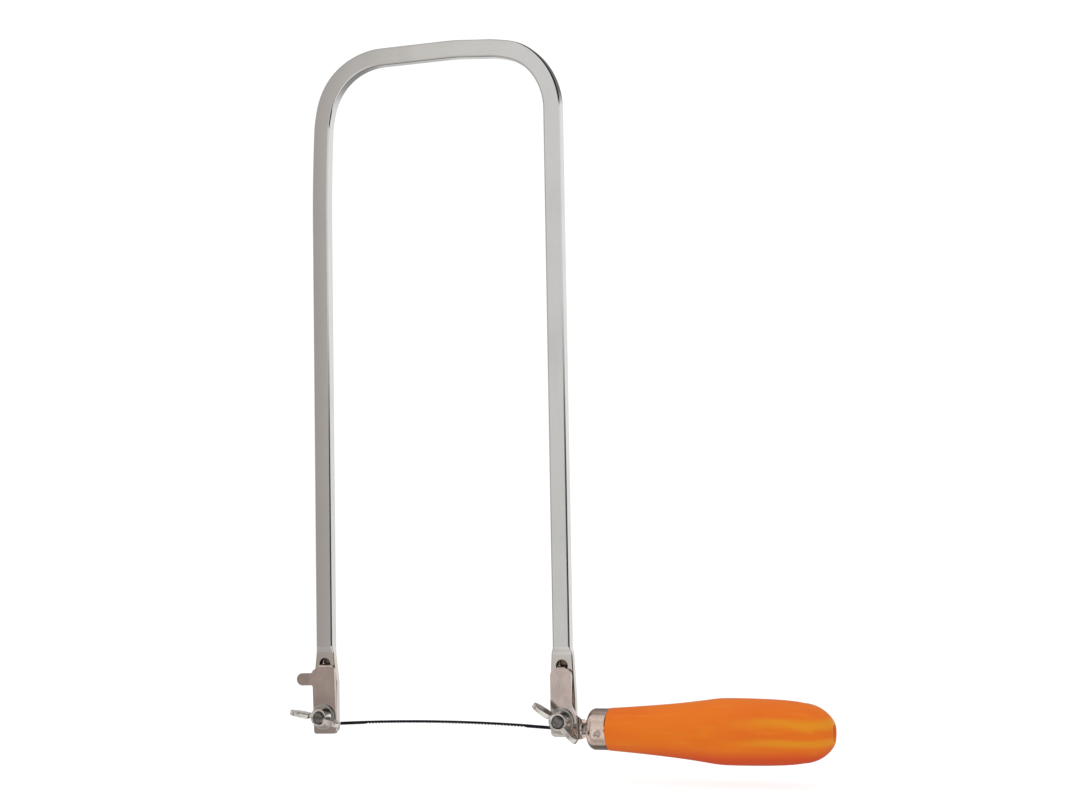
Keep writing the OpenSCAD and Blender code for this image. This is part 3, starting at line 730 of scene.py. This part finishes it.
class Finish(Bench):
    """One procedural finish, with places on the piece in millimetres."""

    def __init__(self, name, steady):
        self.material = bpy.data.materials.new(name)
        self.material.use_nodes = True
        super().__init__(self.material.node_tree)
        self.shader = self.tree.nodes["Principled BSDF"]
        for socket, value in steady.items():
            self.shader.inputs[socket].default_value = value
        self.place = self.scaled(self.node("ShaderNodeTexCoord", output="Object"), 1 / MM)

    def noise(self, per_mm, detail=2.0, shift=(0, 0, 0)):
        """Noise with so many waves to the millimetre along each axis."""
        laid = self.node(
            "ShaderNodeMapping", None, {"Vector": self.place, "Location": shift, "Scale": per_mm}
        )
        return self.node("ShaderNodeTexNoise", None, {"Vector": laid, "Scale": 1.0, "Detail": detail})

    def edges(self, width):
        """1 along the edges of the piece and 0 away from them, over so many millimetres."""
        rounded = self.node("ShaderNodeBevel", {"samples": 6}, {"Radius": width * MM})
        plain = self.node("ShaderNodeNewGeometry", output="Normal")
        return self.ramped(1 - self.vector("DOT_PRODUCT", rounded, plain, "Value"), 0.003, 0.06)

    def done(self, colour, roughness=None, bump=None, height=0.02, strength=0.3, coat=None):
        for socket, value in (("Base Color", colour), ("Roughness", roughness), ("Coat Weight", coat)):
            if value is not None:
                self.feed(self.shader.inputs[socket], value)
        if bump is not None:
            lifted = self.node(
                "ShaderNodeBump", None, {"Strength": strength, "Distance": height * MM, "Height": bump}
            )
            self.feed(self.shader.inputs["Normal"], lifted)
        return self.material


def shade(red, green, blue):
    return (red, green, blue, 1)


def bow_nickel():
    """Bright nickel over a drawn bar: polishing lines, edges darkened by wear and painted shade, browned
    ends, and painted shade in the hook holes.
    """
    nickel = Finish("bow_nickel", METAL)
    along, _, height = nickel.axes(nickel.place)
    hole_r, hole_z = HOOK_HOLE_R / MM, HOOK_HOLE_Z / MM
    # Painted shade: the walls and inner rims of the hook holes are painted nearly black, as shade inside
    # the holes.
    hole_shade = 0
    for arm in (toe_bolt_at, heel_bolt_at):
        out_x, out_z = along - arm.x / MM, height - hole_z
        reach = out_x * out_x + out_z * out_z
        hole_shade = hole_shade + 1 - nickel.ramped(reach, hole_r ** 2, (hole_r + 0.2) ** 2)
    on_top = nickel.ramped(height, 276.0, 300.0)
    up_arm = nickel.noise((4.0, 4.0, 0.06), 4)
    across = nickel.noise((0.06, 4.0, 4.0), 4)
    lines = up_arm + (across - up_arm) * on_top
    cloud = nickel.noise((0.07, 0.07, 0.045), 4)
    pits = nickel.ramped(nickel.noise((1.6, 1.6, 1.1), 1, (7, 3, 5)), 0.74, 0.80)
    browned = 1 - nickel.ramped(height, 29.0, 35.0)
    # The edges are painted darker: partly wear, partly painted shade along the edges.
    rubbed = nickel.edges(0.6) * (0.4 + cloud * 0.7)
    clouded = nickel.ramped(cloud, 0.35, 0.7)
    bright = nickel.mix(clouded, shade(0.77, 0.76, 0.745), shade(0.73, 0.72, 0.705))
    toned = nickel.mix(browned * 0.85, bright, shade(0.72, 0.65, 0.585))
    streaked = nickel.mix(nickel.ramped(lines, 0.3, 0.75) * 0.2, toned, shade(0.66, 0.64, 0.62))
    pitted = nickel.mix(pits * 0.18, streaked, shade(0.40, 0.37, 0.34))
    edges_worn_and_shaded = nickel.mix(rubbed * 0.7, pitted, shade(0.36, 0.34, 0.32))
    colour = nickel.mix(hole_shade * 0.85, edges_worn_and_shaded, shade(0.07, 0.055, 0.045))
    roughness = 0.05 + lines * 0.07 + cloud * 0.05 + pits * 0.15 + hole_shade * 0.2
    return nickel.done(colour, roughness, lines - pits * 0.4, height=0.002, strength=0.35)


def plate_nickel():
    """Satin nickel on stamped sheet: rubbed along it, darker over the toe plate's lower part and its
    tab, brighter at its edges from burnishing and a painted highlight, and painted shade on the hook
    where it passes through the bow."""
    nickel = Finish("plate_nickel", METAL)
    along, depth, height = nickel.axes(nickel.place)
    toe_x = toe_bolt_at.x / MM
    # The toe plate is painted darker over its lower part and its tab.
    at_toe = 1 - nickel.ramped(along, toe_x + 20, toe_x + 30)
    toe_darkened = at_toe * (1 - nickel.ramped(height, 7.0, 20.0))
    tabbed = 1 - nickel.ramped(along, toe_x - 8, toe_x - 6)
    # Painted shade: the part of the hook inside and behind the bow is painted dark, as shade in the
    # hole.
    hole_front = (bow_mid_y - END_THICK / 2) / MM
    hole_back = (bow_mid_y + END_THICK / 2 + HOOK_GAP) / MM
    entered = nickel.ramped(depth, hole_front, hole_front + 0.8) * nickel.ramped(height, 23.6, 24.6)
    hook_shade = entered * (1 - nickel.ramped(depth, hole_back + 0.3, hole_back + 0.6))
    rubbed = nickel.noise((3.5, 3.5, 0.25), 4)
    cloud = nickel.noise((0.22, 0.22, 0.16), 4, (3, 0, 1))
    nicks = nickel.ramped(nickel.noise((2.4, 2.4, 0.7), 1, (1, 8, 2)), 0.69, 0.76)
    dull = shade(0.53, 0.45, 0.415)
    worn = nickel.mix(nickel.ramped(cloud, 0.38, 0.66) * 0.5, shade(0.73, 0.60, 0.545), dull)
    streaked = nickel.mix(nickel.ramped(rubbed, 0.35, 0.75) * 0.25, worn, dull)
    toe_darkened_share = toe_darkened * 0.5 + (1 - toe_darkened) * tabbed * 0.3
    toned = nickel.mix(toe_darkened_share, streaked, shade(0.38, 0.325, 0.305))
    nicked = nickel.mix(nicks * 0.4, toned, shade(0.22, 0.17, 0.15))
    # The edges are painted brighter: partly burnishing, partly a painted highlight.
    burnished_and_highlit = nickel.edges(0.5) * (0.5 + rubbed * 0.6)
    bright = nickel.mix(burnished_and_highlit, nicked, shade(0.93, 0.87, 0.82))
    colour = nickel.mix(hook_shade * (0.75 + rubbed * 0.25), bright, shade(0.20, 0.15, 0.105))
    roughness = 0.07 + rubbed * 0.06 + cloud * 0.06 + hook_shade * 0.2
    return nickel.done(colour, roughness, rubbed - nicks, height=0.004, strength=0.4)


def forged_nickel():
    """Nickel over a forging: soft waves from the die, dull hollows and brighter rims."""
    nickel = Finish("forged_nickel", METAL)
    waves = nickel.noise((0.5, 0.5, 0.5), 3)
    grain = nickel.noise((3.2, 3.2, 3.2), 2, (5, 1, 4))
    pits = nickel.ramped(nickel.noise((1.9, 1.9, 1.9), 1, (2, 6, 9)), 0.68, 0.77)
    hollow = nickel.ramped(waves, 0.35, 0.7)
    bright = nickel.mix(hollow, shade(0.88, 0.83, 0.78), shade(0.74, 0.68, 0.63))
    pitted = nickel.mix(pits * 0.5, bright, shade(0.24, 0.21, 0.18))
    colour = nickel.mix(nickel.edges(0.5) * 0.6, pitted, shade(0.95, 0.92, 0.88))
    roughness = 0.15 + waves * 0.1 + grain * 0.06
    return nickel.done(colour, roughness, waves + grain * 0.2 - pits * 0.3, height=0.04, strength=0.5)


def washer_zinc():
    """Zinc plate with a faint crystal pattern, dull patches and rubbed rims."""
    zinc = Finish("washer_zinc", METAL)
    crystals = zinc.node("ShaderNodeTexVoronoi", None, {"Vector": zinc.place, "Scale": 1.3}, "Color")
    spangle = zinc.axes(crystals)[0]
    cloud = zinc.noise((0.5, 0.5, 0.5), 4)
    fine = zinc.noise((6.0, 6.0, 6.0), 2)
    plain = zinc.mix(spangle * 0.4, shade(0.62, 0.61, 0.58), shade(0.50, 0.50, 0.48))
    clouded = zinc.mix(zinc.ramped(cloud, 0.4, 0.7) * 0.5, plain, shade(0.36, 0.35, 0.32))
    colour = zinc.mix(zinc.edges(0.4) * 0.6, clouded, shade(0.80, 0.79, 0.76))
    roughness = 0.24 + spangle * 0.08 + fine * 0.12
    return zinc.done(colour, roughness, fine + cloud, height=0.01, strength=0.4)


def bolt_steel(name, light):
    """Oiled steel of a given lightness, darker in patches and specked with rust."""
    steel = Finish(name, METAL)
    cloud = steel.noise((0.7, 0.7, 0.7), 4)
    fine = steel.noise((5.0, 5.0, 5.0), 2)
    specks = steel.ramped(steel.noise((2.2, 2.2, 2.2), 1, (4, 4, 1)), 0.64, 0.74)
    bare = shade(light, 0.96 * light, 0.92 * light)
    oiled = shade(0.45 * light, 0.43 * light, 0.42 * light)
    patched = steel.mix(steel.ramped(cloud, 0.35, 0.68), bare, oiled)
    colour = steel.mix(specks * 0.4, patched, shade(0.16, 0.09, 0.05))
    return steel.done(colour, 0.3 + fine * 0.2 + specks * 0.2, fine, height=0.012, strength=0.4)


def blade_steel():
    """Blue-black tempered steel, ground bright along the teeth and scaled on its faces."""
    steel = Finish("blade_steel", METAL)
    mid_x, arc_r = (blade_low.x + blade_high.x) / 2, BLADE_ARC_R / MM
    from_centre = steel.vector("SUBTRACT", steel.place, (mid_x / MM, 0, blade_arc_z / MM))
    reach = steel.vector("LENGTH", steel.vector("MULTIPLY", from_centre, (1, 0, 1)), output="Value")
    toothed = 1 - steel.ramped(reach, arc_r - 0.6, arc_r - 0.2)
    scale = steel.noise((0.35, 2.0, 1.2), 4)
    drawn = steel.noise((0.12, 6.0, 6.0), 3)
    scaled = steel.ramped(scale, 0.35, 0.7)
    blue = steel.mix(scaled, shade(0.014, 0.018, 0.030), shade(0.035, 0.036, 0.044))
    colour = steel.mix(toothed * (0.25 + drawn * 0.5), blue, shade(0.13, 0.13, 0.14))
    roughness = 0.24 + drawn * 0.22 + scale * 0.1
    return steel.done(colour, roughness, drawn, height=0.006, strength=0.5)


def ferrule_nickel():
    """Bright nickel on a drawn cup, with fine rings from the polishing wheel."""
    nickel = Finish("ferrule_nickel", METAL)
    rings = nickel.noise((5.0, 0.08, 0.08), 4)
    cloud = nickel.noise((0.3, 0.3, 0.3), 4)
    scuffs = nickel.ramped(nickel.noise((0.6, 2.6, 2.6), 2, (9, 2, 4)), 0.64, 0.74)
    clouded = nickel.ramped(cloud, 0.36, 0.68)
    bright = nickel.mix(clouded, shade(0.91, 0.73, 0.635), shade(0.80, 0.635, 0.55))
    colour = nickel.mix(scuffs * 0.3, bright, shade(0.42, 0.37, 0.33))
    roughness = 0.12 + rings * 0.1 + scuffs * 0.12
    return nickel.done(colour, roughness, rings, height=0.006, strength=0.5)


def grip_lacquer():
    """Orange lacquer over close-grained wood: darker and redder below as painted shade, with yellow
    bands towards the butt from the wood's grain and a painted highlight.
    """
    lacquer = Finish("grip_lacquer", {"Coat Roughness": 0.14, "Specular IOR Level": 0.12})
    along, _, height = lacquer.axes(lacquer.place)
    butt_mm, axis_mm = grip_high.x / MM, grip_mid_z / MM
    grain = lacquer.noise((0.035, 0.5, 0.5), 5)
    pores = lacquer.noise((0.16, 3.4, 3.4), 3, (2, 7, 1))
    cloud = lacquer.noise((0.02, 0.09, 0.09), 3, (5, 2, 8))
    wax = lacquer.noise((0.3, 0.3, 0.3), 4, (1, 1, 6))
    drift = lacquer.noise((0.03, 0.05, 0.05), 2, (4, 9, 3)) * 5 + height
    late = lacquer.ramped(along, butt_mm - 54.0, butt_mm - 12.0)
    # Painted shade: the underside is painted darker and redder, as shade where little light falls.
    underside_shade = 1 - lacquer.ramped(drift, axis_mm - 9.5, axis_mm - 2.0)
    # Yellow bands towards the butt: partly wood figure, partly a painted highlight.
    figure_and_highlight = 0
    for rise, half in ((7.0, 3.4), (-0.6, 2.6)):
        away = lacquer.size(drift - (axis_mm + rise))
        figure_and_highlight = figure_and_highlight + (1 - lacquer.ramped(away, 0.4, half))
    clouded = lacquer.ramped(cloud, 0.35, 0.65)
    base = lacquer.mix(clouded, shade(0.74, 0.146, 0.010), shade(0.765, 0.172, 0.010))
    flamed_and_highlit = lacquer.mix(figure_and_highlight * late * (0.45 + grain * 0.7), base, shade(0.74, 0.285, 0.012))
    grained = lacquer.ramped(grain, 0.5, 0.74) * 0.35
    streaked = lacquer.mix(grained, flamed_and_highlit, shade(0.78, 0.245, 0.012))
    underside_shaded = lacquer.mix(underside_shade * 0.9, streaked, shade(0.66, 0.064, 0.013))
    colour = lacquer.mix(lacquer.ramped(pores, 0.6, 0.74) * 0.22, underside_shaded, shade(0.56, 0.10, 0.010))
    bump = grain * 0.6 + pores * 0.4
    return lacquer.done(
        colour, 0.36 + wax * 0.16, bump, height=0.02, strength=0.3, coat=0.02 + wax * 0.05
    )


# The pieces. An edge that turns by more degrees than its crease stays sharp.

FORMED_CREASE, TURNED_CREASE, TOOTH_CREASE = 34, 50, 20

bow_finish, sheet_finish, nut_finish = bow_nickel(), plate_nickel(), forged_nickel()
zinc_finish, bolt_finish = washer_zinc(), bolt_steel("bolt_steel", 0.34)
brad_finish, tang_finish = bolt_steel("brad_steel", 0.85), bolt_steel("tang_steel", 0.8)
kept(bow_bar(), "bent_bow", "bow", ["bow_frame"], bow_finish, FORMED_CREASE, True)
for end, at_body, bolt_at, turn in (
    ("toe", "toe_plate", toe_bolt_at, -13),
    ("heel", "handle", heel_bolt_at, -39),
):
    plate, bolt = f"{end}_clamp_plate", f"{end}_clamp_bolt"
    washer, nut = f"{end}_washer", f"{end}_wing_nut"
    kept(
        jaw_plate(plate, bolt_at.x, end == "toe"), f"{end}_hooked_plate", at_body, [plate],
        sheet_finish, FORMED_CREASE, True,
    )
    kept(
        threaded_bolt(bolt), f"{end}_coach_bolt", "bow", [bolt], bolt_finish,
        FORMED_CREASE, True,
    )
    kept(
        flat_washer(washer), f"{end}_flat_washer", washer, [washer], zinc_finish,
        FORMED_CREASE, True,
    )
    kept(forged_nut(nut, math.radians(turn)), f"{end}_forged_nut", nut, [nut], nut_finish)
for shape, name, body, node, slot, finish, crease in (
    (toothed_blade(), "toothed_blade", "blade", "saw_blade", "blued_steel", blade_steel(), TOOTH_CREASE),
    (ferrule_cup(), "ferrule_cup", "handle", "ferrule", "nickel", ferrule_nickel(), TURNED_CREASE),
    (ferrule_brad(), "ferrule_brad", "handle", "ferrule_pin", "dark_steel", brad_finish, TURNED_CREASE),
    (turned_grip(), "turned_grip", "handle", "handle", "orange_lacquer", grip_lacquer(), TURNED_CREASE),
):
    kept(shape, name, body, [node], finish, crease)
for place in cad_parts["tang"].material_slots:
    place.material = tang_finish


# The room: a white floor, soft light, and walls that only the bright metal mirrors

BLADE_DROP = 20 * MM
FLOOR_GAP = 1 * MM
LAMPS = (("top_light", (-0.1, 0.1, 1.7), 2.0, 3), ("key_light", (-0.9, -1.1, 1.3), 1.2, 3))
LAMPS_AIM = Vector((-0.06, 0, 0.1))
# Degrees round from the front towards the handle, then the wall's level and its green and blue shares
WALLS = (
    (-180, 0.95, 1, 1), (-110, 0.85, 1, 1), (-60, 0.60, 0.97, 0.94), (-33, 0.31, 0.93, 0.88),
    (-27, 0.42, 0.93, 0.88), (-24, 0.71, 0.98, 0.95), (-19, 0.78, 1, 1), (-8, 0.80, 1, 1),
    (20, 0.78, 1, 1), (90, 0.95, 1, 1), (180, 0.95, 1, 1),
)
# From straight down, -1, to straight up, 1, then the level there
FRONT = (
    (-1, 0.7), (-0.75, 1.0), (-0.5, 1.1), (-0.2, 0.95), (-0.06, 0.9), (0.1, 0.95), (0.25, 1.02),
    (0.5, 1.0), (0.85, 0.95), (1, 0.6),
)
BACK = (
    (-1, 0.12), (-0.6, 0.25), (-0.36, 0.45), (-0.2, 0.8), (-0.06, 0.95), (0.25, 1), (0.34, 0.2),
    (0.6, 0.2), (0.9, 0.45), (1, 0.6),
)
SOFT = ((-1, 0.88), (-0.35, 0.96), (0, 1.01), (0.5, 0.98), (1, 0.94))


def floor():
    """A pale floor just below the place that the freed blade drops to."""
    sheet = bmesh.new()
    bmesh.ops.create_grid(sheet, x_segments=8, y_segments=8, size=6)
    mesh = as_mesh(sheet, "floor")
    paper = Finish("white_paper", {
        "Roughness": 0.9, "Emission Strength": 0.78, "Emission Color": shade(1, 1, 1),
    })
    fibre = paper.noise((0.2, 0.2, 0.2), 3)
    colour = paper.mix(fibre, shade(0.28, 0.28, 0.28), shade(0.32, 0.32, 0.32))
    mesh.materials.append(paper.done(colour))
    ground = placed("floor", mesh)
    ground.location = (0, 0, blade_low.z - BLADE_DROP - FLOOR_GAP)
    ground.visible_glossy = False
    ground.visible_diffuse = False


def lamps():
    """Two large soft lamps, which the metal doesn't mirror."""
    for name, place, size, power in LAMPS:
        light = bpy.data.lights.new(name, "AREA")
        light.size = size
        light.energy = power
        lamp = placed(name, light)
        lamp.location = place
        lamp.visible_glossy = False
        lamp.rotation_euler = (LAMPS_AIM - Vector(place)).to_track_quat("-Z", "Y").to_euler()


def up_the_wall(room, z, levels):
    return room.graded(z * 0.5 + 0.5, [
        (0.5 + height / 2, shade(level, level, level)) for height, level in levels
    ])


def walls():
    """Pale walls with a dim recess on the handle's side, even light on wood, and white behind."""
    world = bpy.data.worlds.new("room")
    scene.world = world
    world.use_nodes = True
    room = Bench(world.node_tree)
    x, y, z = room.axes(room.node("ShaderNodeTexCoord", output="Generated"))
    turn = room.node("ShaderNodeMath", {"operation": "ARCTAN2"}, {0: x, 1: y * -1.0})
    degrees = turn * (360 / FULL_TURN)
    painted = room.graded(turn / FULL_TURN + 0.5, [
        (0.5 + angle / 360, shade(level, level * green, level * blue))
        for angle, level, green, blue in WALLS
    ])
    behind = room.ramped(room.size(degrees), 80.0, 120.0)
    tall = room.mix(behind, up_the_wall(room, z, FRONT), up_the_wall(room, z, BACK))
    off_walls = room.ramped(z, 0.55, 0.8) + room.ramped(z * -1.0, 0.3, 0.6) * 0.3
    lit = room.vector("MULTIPLY", room.mix(off_walls, painted, shade(0.78, 0.77, 0.76)), tall)
    recess = room.ramped(degrees, -12.0, -6.0) * (1 - room.ramped(degrees, 100.0, 122.0))
    gap = room.ramped(degrees, 13.0, 16.0) * (1 - room.ramped(degrees, 21.0, 24.0))
    low = room.ramped(z, -0.2, -0.13) * (1 - room.ramped(z, 0.05, 0.13)) * (1 - gap)
    high = room.ramped(z, 0.24, 0.34) * (1 - room.ramped(z, 0.92, 0.98))
    mirrored = room.scaled(lit, 1 - recess * (low + high) * 0.98)
    spread = room.node("ShaderNodeLightPath", output="Is Diffuse Ray")
    seen = room.node("ShaderNodeLightPath", output="Is Camera Ray")
    shed = room.mix(spread, mirrored, up_the_wall(room, z, SOFT))
    colour = room.mix(seen, shed, shade(1.05, 1.05, 1.05))
    room.feed(world.node_tree.nodes["Background"].inputs["Color"], colour)


CAMERA_AT = (0.19752, -0.76865, 0.08413)
CAMERA_YAW, CAMERA_PITCH, CAMERA_ROLL = (math.radians(angle) for angle in (19.73, 3.99, -1.0))
CAMERA_LENS = 61.861
CAMERA_FILM = 36


def camera():
    """The camera, placed and turned as the photograph's was."""
    flat = math.cos(CAMERA_PITCH)
    ahead = Vector((-math.sin(CAMERA_YAW) * flat, math.cos(CAMERA_YAW) * flat, math.sin(CAMERA_PITCH)))
    level = Vector((math.cos(CAMERA_YAW), math.sin(CAMERA_YAW), 0))
    upright = level.cross(ahead)
    right = math.cos(CAMERA_ROLL) * level + math.sin(CAMERA_ROLL) * upright
    up = math.cos(CAMERA_ROLL) * upright - math.sin(CAMERA_ROLL) * level
    lens = bpy.data.cameras.new("camera")
    lens.sensor_fit = "HORIZONTAL"
    lens.sensor_width = CAMERA_FILM
    lens.lens = CAMERA_LENS
    lens.clip_start = 0.01
    eye = placed("camera", lens)
    turned_to = Matrix((right, up, -ahead)).transposed().to_4x4()
    eye.matrix_world = Matrix.Translation(CAMERA_AT) @ turned_to
    scene.camera = eye


floor()
lamps()
walls()
camera()
scene.view_settings.view_transform = "Standard"
